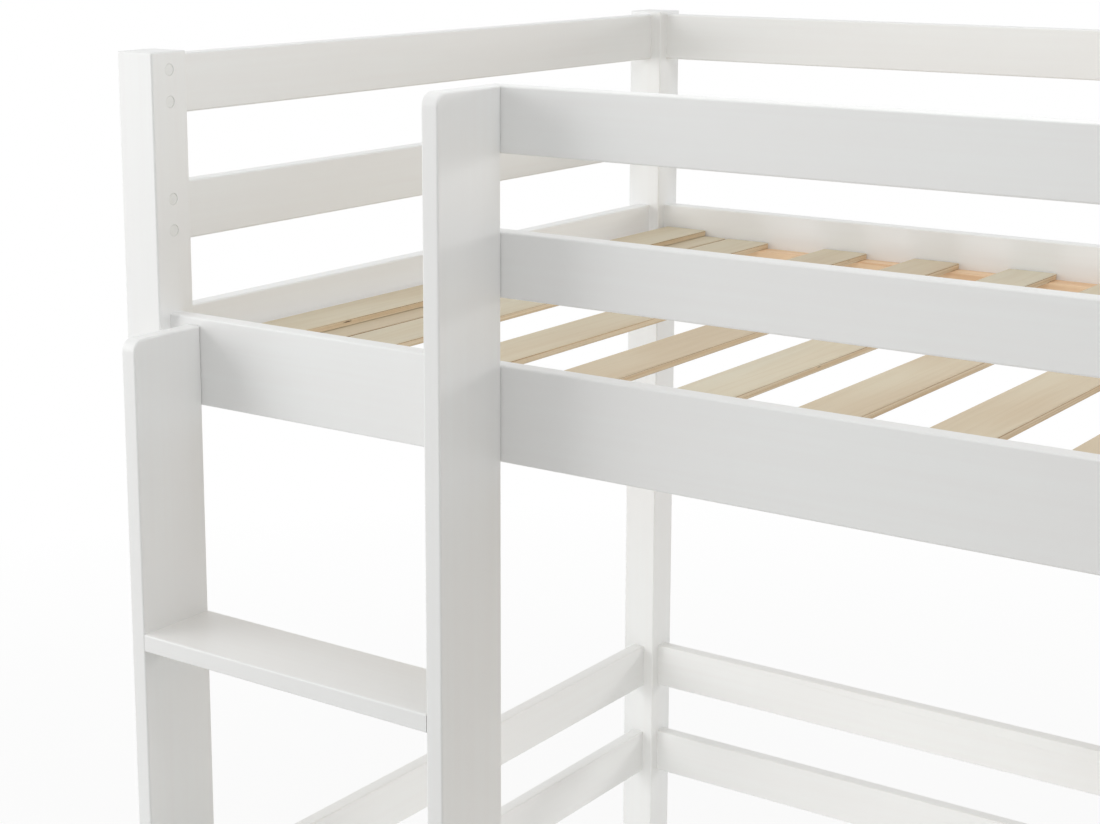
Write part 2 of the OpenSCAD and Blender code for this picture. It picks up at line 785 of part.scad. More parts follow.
// The eight places where end rails meet posts: [inner face x, into post, rail face y, away from the rail]
cam_columns = [
    [post_width, -1, post_width, -1], [right_post_x, 1, post_width, -1],
    [post_width, -1, back_post_y, 1], [right_post_x, 1, back_post_y, 1]
];
cap_recess = 0.3;
cap_bevel = 0.4;
cam_gap = cap_recess + cap_thickness;

// Cam body in the post, with a pocket for its pin
module cam_fittings() {
    color(zinc_grey) for (c = cam_columns, z = cam_heights) {
        cam_y = c[2] + c[3] * post_centre;
        difference() {
            point_along_x(c[0] + c[1] * cam_gap, cam_y, z, c[1])
                cylinder(r = cam_radius, h = cam_depth - cam_gap);
            point_along_y(c[0] + c[1] * post_centre, cam_y, z, -c[3])
                cylinder(r = cam_pin_radius + snug_clearance, h = cam_diameter);
        }
    }
}

module cam_pins() {
    color(zinc_grey) for (c = cam_columns, z = cam_heights)
        point_along_y(c[0] + c[1] * post_centre, c[2] + c[3] * post_centre, z, -c[3])
            cylinder(r = cam_pin_radius, h = post_centre + cam_pin_embed);
}

// Caps that close the cam bores, just below the post's face, with a bevelled rim
module cam_caps() {
    color(paint_white) for (c = cam_columns, z = cam_heights)
        point_along_x(c[0] + c[1] * cap_recess, c[2] + c[3] * post_centre, z, c[1]) {
            cylinder(r1 = cam_radius - cap_bevel, r2 = cam_radius, h = cap_bevel);
            translate([0, 0, cap_bevel]) cylinder(r = cam_radius, h = cap_thickness - cap_bevel);
        }
}

module tread_dowels() {
    dowel_slack = 1;
    length = dowel_in_stile + dowel_in_tread - 2 * dowel_slack;
    color(beech_tan) for (i = [1:tread_count], row = dowel_rows) {
        z = i * tread_pitch - board_thickness / 2;
        point_along_x(tread_x - dowel_in_stile + dowel_slack, stile_y + row, z, 1)
            cylinder(r = dowel_radius, h = length);
        point_along_x(right_stile_x + dowel_in_stile - dowel_slack, stile_y + row, z, -1)
            cylinder(r = dowel_radius, h = length);
    }
}

// Screws from the rails' inner faces into the stiles' back edges. In the side rail one lies above the
// bolts and one between them.
ladder_screw_margin = 18;
ladder_side_screw_drops = [ladder_screw_margin, (rail_bolt_drop + lower_bolt_drop) / 2];
guard_screw_drops = [ladder_screw_margin, rail_height - ladder_screw_margin];
ladder_screw_places = concat(
    [for (drop = ladder_side_screw_drops) [left_stile_x, side_rail_top - drop]],
    [for (drop = ladder_side_screw_drops) [right_stile_x, side_rail_top - drop]],
    [for (top = guard_tops, drop = guard_screw_drops) [right_stile_x, top - drop]]
);
module ladder_screw_set(clearance) {
    for (place = ladder_screw_places)
        point_along_y(place[0] + board_thickness / 2, front_rail_y + board_thickness, place[1], 1)
            screw_shape(ladder_screw_length, clearance);
}

module ladder_screws() {
    color(zinc_grey) ladder_screw_set(0);
}

// Screws through the battens into the side rails
module upper_batten_screws(face_y, direction, clearance) {
    z = side_rail_top - batten_drop - batten_height / 2;
    for (x = screw_places(post_width, bay_length))
        point_along_y(x, face_y, z, direction) screw_shape(batten_screw_length, clearance);
}
module lower_batten_screws(face_x, direction, clearance) {
    z = low_side_top - batten_drop - batten_height / 2;
    for (y = screw_places(lower_batten_start, lower_batten_length))
        point_along_x(face_x, y, z, direction) screw_shape(batten_screw_length, clearance);
}

module batten_screws() {
    color(zinc_grey) {
        upper_batten_screws(front_rail_y + board_thickness + batten_width, 1, 0);
        upper_batten_screws(back_rail_y - batten_width, -1, 0);
        lower_batten_screws(lower_inner_x + batten_width, 1, 0);
        lower_batten_screws(lower_right_x - batten_width, -1, 0);
    }
}

centred() front_left_post();
centred() front_right_post();
centred() back_left_post();
centred() back_right_post();
centred() head_post();
centred() foot_left_post();
centred() foot_right_post();
centred() left_top_rail();
centred() left_middle_rail();
centred() left_bed_rail();
centred() left_low_top_rail();
centred() left_low_middle_rail();
centred() right_top_rail();
centred() right_middle_rail();
centred() right_bed_rail();
centred() right_low_top_rail();
centred() right_low_middle_rail();
centred() back_top_rail();
centred() back_middle_rail();
centred() back_side_rail();
centred() back_low_top_rail();
centred() back_low_middle_rail();
centred() front_side_rail();
centred() guard_top_rail();
centred() guard_middle_rail();
centred() ladder_left_stile();
centred() ladder_right_stile();
centred() ladder_tread_1();
centred() ladder_tread_2();
centred() ladder_tread_3();
centred() ladder_tread_4();
centred() upper_front_batten();
centred() upper_back_batten();
centred() upper_slats();
centred() upper_lapped_slat();
centred() lower_left_side_rail();
centred() lower_right_side_rail();
centred() lower_head_rail();
centred() foot_top_rail();
centred() foot_middle_rail();
centred() foot_bed_rail();
centred() lower_left_batten();
centred() lower_right_batten();
centred() lower_slats();
centred() frame_bolts();
centred() barrel_nuts();
centred() insert_nuts();
centred() cam_fittings();
centred() cam_pins();
centred() cam_caps();
centred() tread_dowels();
centred() ladder_screws();
centred() batten_screws();
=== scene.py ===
import math
import random

import bmesh
import bpy
from mathutils import Matrix, Vector


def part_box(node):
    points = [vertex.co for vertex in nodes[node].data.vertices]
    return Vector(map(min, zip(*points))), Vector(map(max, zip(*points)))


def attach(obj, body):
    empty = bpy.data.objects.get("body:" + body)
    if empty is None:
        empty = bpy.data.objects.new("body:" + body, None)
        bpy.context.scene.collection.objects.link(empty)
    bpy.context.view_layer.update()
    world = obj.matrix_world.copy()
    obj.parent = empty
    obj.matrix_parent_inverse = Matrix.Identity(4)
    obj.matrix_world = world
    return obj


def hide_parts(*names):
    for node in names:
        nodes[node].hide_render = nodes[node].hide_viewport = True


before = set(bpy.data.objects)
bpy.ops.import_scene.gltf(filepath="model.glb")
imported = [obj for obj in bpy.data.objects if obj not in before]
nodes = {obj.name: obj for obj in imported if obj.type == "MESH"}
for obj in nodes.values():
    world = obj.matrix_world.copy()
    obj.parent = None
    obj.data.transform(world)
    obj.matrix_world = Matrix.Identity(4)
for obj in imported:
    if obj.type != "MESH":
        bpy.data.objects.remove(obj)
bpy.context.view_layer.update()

# L shaped bunk bed in white lacquered pine, with bare laminated slats and zinc plated fittings.
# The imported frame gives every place: metres, Z up, X along the upper bed, Y towards the wall.
scene = bpy.context.scene
mm = 0.001
print("frame loaded:", len(nodes), "nodes")

camera = {
    "place": (0.501596, -1.425550, 1.747570),
    "turn": 0.620325,  # to the left of straight ahead, in radians
    "tip": 0.189518,  # below level
    "roll": 0.000192,
    "focal": 2082.98,  # in pixels of a picture 1100 wide
    "axis": (520.085, 300.0),  # where the lens axis meets that picture
    "picture": (1100, 824),
    "sensor": 36,  # mm
    "clip": (0.05, 100),  # metres
}


def makeCamera():
    wide, high = camera["picture"]
    data = bpy.data.cameras.new("camera")
    data.sensor_width = camera["sensor"]
    data.lens = camera["focal"] * camera["sensor"] / wide
    data.shift_x = (wide / 2 - camera["axis"][0]) / wide
    data.shift_y = (camera["axis"][1] - high / 2) / wide
    data.clip_start, data.clip_end = camera["clip"]
    holder = bpy.data.objects.new("camera", data)
    scene.collection.objects.link(holder)
    turn = Matrix.Rotation(camera["turn"], 4, "Z")
    tip = Matrix.Rotation(math.pi / 2 - camera["tip"], 4, "X")
    roll = Matrix.Rotation(camera["roll"], 4, "Z")
    holder.matrix_world = Matrix.Translation(camera["place"]) @ turn @ tip @ roll
    scene.camera = holder


makeCamera()
print("camera placed")


def linear(hexColour):
    # sRGB hex to the linear values that the shaders take, by the sRGB standard's own numbers
    parts = [int(hexColour[i : i + 2], 16) / 255 for i in (1, 3, 5)]
    return [c / 12.92 if c <= 0.04045 else ((c + 0.055) / 1.055) ** 2.4 for c in parts] + [1]


def addNode(tree, kind, settings=None, links=None):
    # A setting goes to the socket of that name or number, else to the node, and a ramp takes its stops.
    # In a colour mix, socket 0 is the second colour's share, 6 and 7 are the two colours, output 2 the mix.
    node = tree.nodes.new(kind)
    for name, value in (settings or {}).items():
        if name == "stops":
            elements = node.color_ramp.elements
            while len(elements) < len(value):
                elements.new(0.5)
            for element, (place, colour) in zip(elements, value):
                element.position = place
                element.color = linear(colour) if isinstance(colour, str) else (colour, colour, colour, 1)
        elif isinstance(name, int) or name in node.inputs:
            node.inputs[name].default_value = linear(value) if isinstance(value, str) else value
        else:
            setattr(node, name, value)
    for name, source in (links or {}).items():
        tree.links.new(source, node.inputs[name])
    return node


def startMaterial(name):
    material = bpy.data.materials.new(name)
    material.use_nodes = True
    tree = material.node_tree
    tree.nodes.clear()
    shader = addNode(tree, "ShaderNodeBsdfPrincipled")
    addNode(tree, "ShaderNodeOutputMaterial", links={"Surface": shader.outputs[0]})
    return material, tree, shader


def grainScale(axis, spacing, stretch):
    # pattern scale, in repeats to the metre, for grain along one axis: spacing in mm across it,
    # stretch times that along it
    return [1000 / spacing / (stretch if name == axis else 1) for name in "XYZ"]


lacquer = {
    "colour": "#eeefee",
    "thin": "#ededec",  # where the coat lies thinner over the rings
    "thinEnds": (0.16, 0.36),  # pattern values: thin coat up to the first, full coat from the second
    "roughness": 0.4,
    "roughnessSpread": 0.05,
    "ringSpacing": 7,  # mm across the grain
    "stretch": 45,  # length of the figure over its width
    "ringHeight": 0.006,  # mm that the rings still stand out
    "peel": 1.6,  # mm between the ripples of the sprayed coat
    "peelHeight": 0.004,  # mm
    "cloud": 260,  # mm across one patch of thicker coat
}


def lacqueredPine(axis):
    # Solid pine, planed, primed and sprayed with satin white lacquer. The eye gets an even, neutral
    # white with a soft sheen: the rings hardly telegraph through and the coat has a fine orange peel.
    s = lacquer
    material, tree, shader = startMaterial("lacqueredPine" + axis)
    place = addNode(tree, "ShaderNodeTexCoord").outputs["Object"]
    scale = grainScale(axis, s["ringSpacing"], s["stretch"])
    along = addNode(tree, "ShaderNodeMapping", {"Scale": scale}, {"Vector": place}).outputs[0]
    grain = addNode(tree, "ShaderNodeTexNoise", {"Scale": 1, "Detail": 3}, {"Vector": along}).outputs[0]
    ripples = {"Scale": 1000 / s["peel"], "Detail": 1}
    peel = addNode(tree, "ShaderNodeTexNoise", ripples, {"Vector": place}).outputs[0]
    cloud = addNode(tree, "ShaderNodeTexNoise", {"Scale": 1000 / s["cloud"]}, {"Vector": place}).outputs[0]
    coat = addNode(tree, "ShaderNodeMath", {"operation": "MULTIPLY"}, {0: grain, 1: cloud}).outputs[0]
    stops = list(zip(s["thinEnds"], (s["thin"], s["colour"])))
    colour = addNode(tree, "ShaderNodeValToRGB", {"stops": stops}, {0: coat})
    low = s["roughness"] - s["roughnessSpread"]
    high = s["roughness"] + s["roughnessSpread"]
    rough = addNode(tree, "ShaderNodeMapRange", {"To Min": low, "To Max": high}, {0: cloud})
    rings = addNode(tree, "ShaderNodeBump", {"Distance": s["ringHeight"] * mm}, {"Height": grain}).outputs[0]
    links = {"Height": peel, "Normal": rings}
    skin = addNode(tree, "ShaderNodeBump", {"Distance": s["peelHeight"] * mm}, links)
    tree.links.new(colour.outputs[0], shader.inputs["Base Color"])
    tree.links.new(rough.outputs[0], shader.inputs["Roughness"])
    tree.links.new(skin.outputs[0], shader.inputs["Normal"])
    return material


slatWood = {
    "tones": [(0.0, "#d5cdb9"), (0.5, "#d5cab3"), (1.0, "#cebea5")],  # pale cream, pinkish cream, tan
    "patch": (75, 3.2),  # mm across one patch of tone on a face, times that along it
    "patchEnds": (0.3, 0.7),  # pattern values where a patch moves the tone as far as it goes
    "patchSpread": 0.32,  # how far a patch moves the slat's own tone
    "figure": (30, 15),  # mm across the figure, times that along it
    "figureBands": 42,
    "streak": "#bfa682",  # late wood in the face layer
    "streakEnds": (-0.2, 1),  # heights of a band's wave where late wood begins and where it is strongest
    "streakPart": 0.11,
    "fibre": (1.1, 55),  # mm across a fibre, times that along it; drawn coarser than real ones, to show
    "fibreShade": [(0.35, 0.94), (0.65, 1.0)],  # pattern value and brightness
    "fibrePart": 0.6,  # how much of that shade lies over the wood
    "fibreHeight": 0.03,  # mm
    "plies": 7,
    "bend": 0.4,  # plies that a layer strays up and down
    "layerShades": (3, 5.3, 40),  # pattern scale along a layer, from layer to layer and across
    "shadeEnds": (0.4, 0.6),  # pattern values of the light and of the dark layers
    "edgeLight": "#ead9bd",
    "edgeDark": "#dfc7a4",
    "glueLine": "#7a4f30",
    "lineShape": [(0.0, 1.0), (0.38, 0.9), (0.48, 0.0)],  # place down one ply, and strength there
    "lineBreaks": (5, 7.3, 60),  # as layerShades
    "lineStrength": [(0.35, 0.55), (0.6, 1.0)],  # pattern value and strength
    "fadePlies": (1, 2),  # the last ply with a full line, and the first with a deep one
    "deepLines": 0.35,  # how strong the deep lines are
    "paintedKnotShade": "#3b2417",  # painted shade: the dark inside of an open knot's hole in an inner layer
    "gapPlaces": (9, 3.1, 60),  # as layerShades
    "gapShape": [(0.06, 1.0), (0.09, 0.0)],  # distance from its middle, and strength there
    "skin": 0.9,  # mm below the faces that the outer ply still shows its own colour
    "roughness": 0.7,
    "gloss": 0.25,  # bare wood throws back less than lacquer
}


def slatFace(tree, seeded, figurePlace, tone):
    # soft bands of late wood over a tone that changes in long patches
    s = slatWood
    noise = {"Scale": 1, "Detail": 2}
    figure = addNode(tree, "ShaderNodeTexNoise", noise, {"Vector": figurePlace}).outputs[0]
    turns = {"operation": "MULTIPLY", 1: s["figureBands"]}
    bands = addNode(tree, "ShaderNodeMath", turns, {0: figure}).outputs[0]
    wave = addNode(tree, "ShaderNodeMath", {"operation": "SINE"}, {0: bands}).outputs[0]
    low, high = s["streakEnds"]
    ends = {"From Min": low, "From Max": high, "To Max": s["streakPart"]}
    late = addNode(tree, "ShaderNodeMapRange", ends, {0: wave}).outputs[0]
    scale = grainScale("X", *s["patch"])
    patchPlace = addNode(tree, "ShaderNodeMapping", {"Scale": scale}, {"Vector": seeded}).outputs[0]
    patch = addNode(tree, "ShaderNodeTexNoise", {"Scale": 1, "Detail": 0}, {"Vector": patchPlace}).outputs[0]
    low, high = s["patchEnds"]
    ends = {"From Min": low, "From Max": high, "To Min": -s["patchSpread"], "To Max": s["patchSpread"]}
    change = addNode(tree, "ShaderNodeMapRange", ends, {0: patch}).outputs[0]
    patched = addNode(tree, "ShaderNodeMath", {"operation": "ADD"}, {0: tone, 1: change}).outputs[0]
    base = addNode(tree, "ShaderNodeValToRGB", {"stops": s["tones"]}, {0: patched}).outputs[0]
    streak = {"data_type": "RGBA", 7: s["streak"]}
    return addNode(tree, "ShaderNodeMix", streak, {0: late, 6: base}).outputs[2]


def slatEdge(tree, seeded, figurePlace, up, thickness):
    # layers counted down from the top face, each with its own tone and glue line, and open knot holes drawn
    # as painted shade
    s = slatWood
    slow = addNode(tree, "ShaderNodeTexNoise", {"Scale": 1, "Detail": 0}, {"Vector": figurePlace}).outputs[0]
    ply = thickness / s["plies"]
    count = {"operation": "MULTIPLY_ADD", 1: -1 / ply, 2: s["plies"] / 2 - s["bend"] / 2}
    depth = addNode(tree, "ShaderNodeMath", count, {0: up}).outputs[0]
    stray = {"operation": "MULTIPLY_ADD", 1: s["bend"]}
    bent = addNode(tree, "ShaderNodeMath", stray, {0: slow, 2: depth}).outputs[0]
    layer = addNode(tree, "ShaderNodeMath", {"operation": "FLOOR"}, {0: bent}).outputs[0]
    within = addNode(tree, "ShaderNodeMath", {"operation": "FRACT"}, {0: bent}).outputs[0]
    parts = addNode(tree, "ShaderNodeSeparateXYZ", links={"Vector": seeded}).outputs
    links = {0: parts[0], 1: layer, 2: parts[1]}
    place = addNode(tree, "ShaderNodeCombineXYZ", links=links).outputs[0]

    shadePlace = addNode(tree, "ShaderNodeMapping", {"Scale": s["layerShades"]}, {"Vector": place}).outputs[0]
    shade = addNode(tree, "ShaderNodeTexNoise", {"Scale": 1, "Detail": 1}, {"Vector": shadePlace}).outputs[0]
    stops = list(zip(s["shadeEnds"], (s["edgeLight"], s["edgeDark"])))
    layers = addNode(tree, "ShaderNodeValToRGB", {"stops": stops}, {0: shade}).outputs[0]

    breakPlace = addNode(tree, "ShaderNodeMapping", {"Scale": s["lineBreaks"]}, {"Vector": place}).outputs[0]
    breaks = addNode(tree, "ShaderNodeTexNoise", {"Scale": 1, "Detail": 2}, {"Vector": breakPlace}).outputs[0]
    strength = addNode(tree, "ShaderNodeValToRGB", {"stops": s["lineStrength"]}, {0: breaks}).outputs[0]
    inner = {"operation": "GREATER_THAN", 1: 0.5}  # layers are whole numbers, and the face layer is 0
    hasLine = addNode(tree, "ShaderNodeMath", inner, {0: layer}).outputs[0]
    last, first = s["fadePlies"]
    fade = {"From Min": last, "From Max": first, "To Min": 1, "To Max": s["deepLines"]}
    faded = addNode(tree, "ShaderNodeMapRange", fade, {0: layer}).outputs[0]
    line = addNode(tree, "ShaderNodeValToRGB", {"stops": s["lineShape"]}, {0: within}).outputs[0]
    for part in (strength, hasLine, faded):
        line = addNode(tree, "ShaderNodeMath", {"operation": "MULTIPLY"}, {0: line, 1: part}).outputs[0]
    glue = {"data_type": "RGBA", 7: s["glueLine"]}
    glued = addNode(tree, "ShaderNodeMix", glue, {0: line, 6: layers}).outputs[2]

    # open knot holes: the dark inside of each hole is painted on the flat edge as shade, not cut into it
    gapPlace = addNode(tree, "ShaderNodeMapping", {"Scale": s["gapPlaces"]}, {"Vector": place}).outputs[0]
    cells = addNode(tree, "ShaderNodeTexVoronoi", {"Scale": 1}, {"Vector": gapPlace}).outputs[0]
    knotShadeMask = addNode(tree, "ShaderNodeValToRGB", {"stops": s["gapShape"]}, {0: cells}).outputs[0]
    knotShadeMix = {"data_type": "RGBA", 7: s["paintedKnotShade"]}
    return addNode(tree, "ShaderNodeMix", knotShadeMix, {0: knotShadeMask, 6: glued}).outputs[2]


def laminatedSlat(thickness):
    # Laminated pine, pressed from rotary cut layers, sawn and sanded, left bare. The eye gets a pale
    # face that changes tone from slat to slat, long soft figure, and a warmer edge with brown glue lines.
    s = slatWood
    material, tree, shader = startMaterial("laminatedSlat")
    local = addNode(tree, "ShaderNodeAttribute", {"attribute_name": "slatPlace"}).outputs["Vector"]
    seed = addNode(tree, "ShaderNodeAttribute", {"attribute_name": "slatSeed"}).outputs["Vector"]
    tone = addNode(tree, "ShaderNodeAttribute", {"attribute_name": "slatTone"}).outputs["Fac"]
    seeded = addNode(tree, "ShaderNodeVectorMath", {"operation": "ADD"}, {0: local, 1: seed}).outputs[0]
    scale = grainScale("X", *s["figure"])
    figurePlace = addNode(tree, "ShaderNodeMapping", {"Scale": scale}, {"Vector": seeded}).outputs[0]
    up = addNode(tree, "ShaderNodeSeparateXYZ", links={"Vector": local}).outputs[2]
    face = slatFace(tree, seeded, figurePlace, tone)
    edge = slatEdge(tree, seeded, figurePlace, up, thickness)
    height = addNode(tree, "ShaderNodeMath", {"operation": "ABSOLUTE"}, {0: up}).outputs[0]
    skinDepth = {"operation": "LESS_THAN", 1: thickness / 2 - s["skin"] * mm}
    isEdge = addNode(tree, "ShaderNodeMath", skinDepth, {0: height}).outputs[0]
    links = {0: isEdge, 6: face, 7: edge}
    wood = addNode(tree, "ShaderNodeMix", {"data_type": "RGBA"}, links).outputs[2]

    # fine fibres over face and edge alike
    scale = grainScale("X", *s["fibre"])
    fibrePlace = addNode(tree, "ShaderNodeMapping", {"Scale": scale}, {"Vector": seeded}).outputs[0]
    fibres = addNode(tree, "ShaderNodeTexNoise", {"Scale": 1, "Detail": 3}, {"Vector": fibrePlace}).outputs[0]
    fine = addNode(tree, "ShaderNodeValToRGB", {"stops": s["fibreShade"]}, {0: fibres}).outputs[0]
    shadeOver = {"data_type": "RGBA", "blend_type": "MULTIPLY", 0: s["fibrePart"]}
    wood = addNode(tree, "ShaderNodeMix", shadeOver, {6: wood, 7: fine}).outputs[2]
    bump = addNode(tree, "ShaderNodeBump", {"Distance": s["fibreHeight"] * mm}, {"Height": fibres})
    tree.links.new(wood, shader.inputs["Base Color"])
    tree.links.new(bump.outputs[0], shader.inputs["Normal"])
    shader.inputs["Roughness"].default_value = s["roughness"]
    shader.inputs["Specular IOR Level"].default_value = s["gloss"]
    return material


battenWood = {
    "early": "#e8c8a4",
    "late": "#dcb58e",
    "lateEnds": (0.1, 0.9),  # heights of a ring's wave: early wood up to the first, late from the second
    "roughness": 0.55,
    "ring": (6, 35),  # mm across a ring, times that along it
    "ringField": 0.3,  # how fast the pattern that the rings are drawn from changes
    "ringTurns": 30,
    "ringHeight": 0.03,  # mm
}


def planedPine(axis):
    # Bare planed pine. The eye gets pinkish orange early wood with slightly darker rings along it.
    s = battenWood
    material, tree, shader = startMaterial("planedPine" + axis)
    place = addNode(tree, "ShaderNodeTexCoord").outputs["Object"]
    scale = grainScale(axis, *s["ring"])
    along = addNode(tree, "ShaderNodeMapping", {"Scale": scale}, {"Vector": place}).outputs[0]
    noise = {"Scale": s["ringField"], "Detail": 1}
    field = addNode(tree, "ShaderNodeTexNoise", noise, {"Vector": along}).outputs[0]
    turns = {"operation": "MULTIPLY", 1: s["ringTurns"]}
    bands = addNode(tree, "ShaderNodeMath", turns, {0: field}).outputs[0]
    rings = addNode(tree, "ShaderNodeMath", {"operation": "SINE"}, {0: bands}).outputs[0]
    stops = list(zip(s["lateEnds"], (s["early"], s["late"])))
    colour = addNode(tree, "ShaderNodeValToRGB", {"stops": stops}, {0: rings})
    bump = addNode(tree, "ShaderNodeBump", {"Distance": s["ringHeight"] * mm}, {"Height": rings})
    tree.links.new(colour.outputs[0], shader.inputs["Base Color"])
    tree.links.new(bump.outputs[0], shader.inputs["Normal"])
    shader.inputs["Roughness"].default_value = s["roughness"]
    return material


plating = {
    "dull": "#b2b7be",
    "bright": "#d0d3d8",
    "brightEnds": (0.3, 0.7),  # pattern values of the dull and of the bright places
    "spangle": 4,  # mm across one cloudy place
    "smooth": 0.22,  # roughness where it is clearest
    "cloudy": 0.42,
}


def zincPlate():
    # Turned steel, bright zinc plated. The eye gets a pale bluish grey metal, a little cloudy in places.
    s = plating
    material, tree, shader = startMaterial("zincPlate")
    place = addNode(tree, "ShaderNodeTexCoord").outputs["Object"]
    cloud = addNode(tree, "ShaderNodeTexNoise", {"Scale": 1000 / s["spangle"]}, {"Vector": place}).outputs[0]
    stops = list(zip(s["brightEnds"], (s["dull"], s["bright"])))
    colour = addNode(tree, "ShaderNodeValToRGB", {"stops": stops}, {0: cloud})
    rough = addNode(tree, "ShaderNodeMapRange", {"To Min": s["smooth"], "To Max": s["cloudy"]}, {0: cloud})
    tree.links.new(colour.outputs[0], shader.inputs["Base Color"])
    tree.links.new(rough.outputs[0], shader.inputs["Roughness"])
    shader.inputs["Metallic"].default_value = 1
    return material


capFinish = {
    "dark": "#e7e8e6",
    "light": "#eaebe9",
    "lightEnds": (0.3, 0.7),  # pattern values of the dark and of the light grains
    "texture": 1.2,  # mm across one grain of the mould's texture
    "height": 0.004,  # mm
    "roughness": 0.35,
}


def capPlastic():
    # Moulded white polyethylene. The eye gets a flat disc, a touch greyer and glossier than the lacquer.
    s = capFinish
    material, tree, shader = startMaterial("capPlastic")
    place = addNode(tree, "ShaderNodeTexCoord").outputs["Object"]
    fine = addNode(tree, "ShaderNodeTexNoise", {"Scale": 1000 / s["texture"]}, {"Vector": place}).outputs[0]
    stops = list(zip(s["lightEnds"], (s["dark"], s["light"])))
    colour = addNode(tree, "ShaderNodeValToRGB", {"stops": stops}, {0: fine})
    bump = addNode(tree, "ShaderNodeBump", {"Distance": s["height"] * mm}, {"Height": fine})
    tree.links.new(colour.outputs[0], shader.inputs["Base Color"])
    tree.links.new(bump.outputs[0], shader.inputs["Normal"])
    shader.inputs["Roughness"].default_value = s["roughness"]
    return material


dowelWood = {
    "fleck": "#c9a273",
    "plain": "#deb98b",
    "plainEnds": (0.35, 0.6),  # pattern values: fleck up to the first, plain wood from the second
    "grain": (1.1, 10),  # mm across a fleck, times that along it
    "roughness": 0.6,
}


def turnedBeech():
    # Turned beech dowel stock. The eye gets pinkish tan wood with short darker flecks.
    s = dowelWood
    material, tree, shader = startMaterial("turnedBeech")
    place = addNode(tree, "ShaderNodeTexCoord").outputs["Object"]
    scale = grainScale("X", *s["grain"])
    along = addNode(tree, "ShaderNodeMapping", {"Scale": scale}, {"Vector": place}).outputs[0]
    flecks = addNode(tree, "ShaderNodeTexNoise", {"Scale": 1}, {"Vector": along}).outputs[0]
    stops = list(zip(s["plainEnds"], (s["fleck"], s["plain"])))
    colour = addNode(tree, "ShaderNodeValToRGB", {"stops": stops}, {0: flecks})
    tree.links.new(colour.outputs[0], shader.inputs["Base Color"])
    shader.inputs["Roughness"].default_value = s["roughness"]
    return material


lappedLow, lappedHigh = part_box("upper_lapped_slat")
white = {axis: lacqueredPine(axis) for axis in "XYZ"}
pine = {axis: planedPine(axis) for axis in "XY"}
slatMaterial = laminatedSlat(lappedHigh[2] - lappedLow[2])
zinc = zincPlate()
capWhite = capPlastic()
beech = turnedBeech()
print("materials made")


def longAxis(name):
    low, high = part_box(name)
    return "XYZ"[max(range(3), key=lambda i: high[i] - low[i])]


def finish(name, material):
    for slot in nodes[name].material_slots:
        slot.material = material


# boards, posts and fittings keep their exact shape and take their finish
for name in nodes:
    if name.endswith(("post", "rail", "stile")):
        finish(name, white[longAxis(name)])
    elif name.startswith("ladder_tread"):
        finish(name, white["X"])
    elif name.endswith("batten"):
        finish(name, pine[longAxis(name)])
    elif name == "tread_dowels":
        finish(name, beech)
    elif name == "cam_caps":
        finish(name, capWhite)
    elif not name.endswith(("slat", "slats")):
        finish(name, zinc)
print("boards, posts and fittings finished")

slats = {
    "edgeRound": 1.6,  # mm, along the long edges
    "endRound": 0.5,  # mm, round the ends
    "segments": 4,
    "squareOn": 0.9,  # a face is an end where its normal lies this much along the slat
    "weld": 0.01,  # mm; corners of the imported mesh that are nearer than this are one
    "tones": [0.6, 0.3, 0.55, 0.95, 0.3, 0.8, 0.85],  # by turns; 0 is pale cream, 1 is tan
    "toneSpread": 0.06,
    "seed": 41,
    "seedRange": 40,  # how far apart in the wood's pattern two slats may lie
}


def islands(name):
    # the lowest and highest corner of each solid of a group node
    shape = bmesh.new()
    shape.from_mesh(nodes[name].data)
    bmesh.ops.remove_doubles(shape, verts=shape.verts, dist=slats["weld"] * mm)
    found = []
    seen = set()
    for start in shape.verts:
        if start in seen:
            continue
        seen.add(start)
        waiting = [start]
        points = []
        while waiting:
            vert = waiting.pop()
            points.append(vert.co.copy())
            for edge in vert.link_edges:
                other = edge.other_vert(vert)
                if other not in seen:
                    seen.add(other)
                    waiting.append(other)
        low = Vector([min(point[i] for point in points) for i in range(3)])
        high = Vector([max(point[i] for point in points) for i in range(3)])
        found.append((low, high))
    shape.free()
    return sorted(found, key=lambda corners: tuple(corners[0]))


def slatMesh(low, high, along, tone, seed):
    # one strip with eased edges, and its own coordinates, seed and tone for the wood
    size = high - low
    middle = (high + low) / 2
    shape = bmesh.new()
    bmesh.ops.create_cube(shape, size=1)
    bmesh.ops.scale(shape, verts=shape.verts, vec=size)
    longEdges = [e for e in shape.edges if abs((e.verts[0].co - e.verts[1].co)[along]) > size[along] / 2]
    bmesh.ops.bevel(
        shape,
        geom=longEdges,
        offset=slats["edgeRound"] * mm,
        segments=slats["segments"],
        profile=0.5,
        affect="EDGES",
        material=-1,
    )
    squareOn = slats["squareOn"]
    endEdges = [e for e in shape.edges if any(abs(f.normal[along]) > squareOn for f in e.link_faces)]
    bmesh.ops.bevel(
        shape,
        geom=endEdges,
        offset=slats["endRound"] * mm,
        segments=1,
        profile=0.5,
        affect="EDGES",
        material=-1,
    )
    placeLayer = shape.verts.layers.float_vector.new("slatPlace")
    seedLayer = shape.verts.layers.float_vector.new("slatSeed")
    toneLayer = shape.verts.layers.float.new("slatTone")
    for vert in shape.verts:
        vert[placeLayer] = (vert.co[along], vert.co[1 - along], vert.co.z)
        vert[seedLayer] = seed
        vert[toneLayer] = tone
    bmesh.ops.translate(shape, verts=shape.verts, vec=middle)
    mesh = bpy.data.meshes.new("slat")
    shape.to_mesh(mesh)
    shape.free()
    return mesh


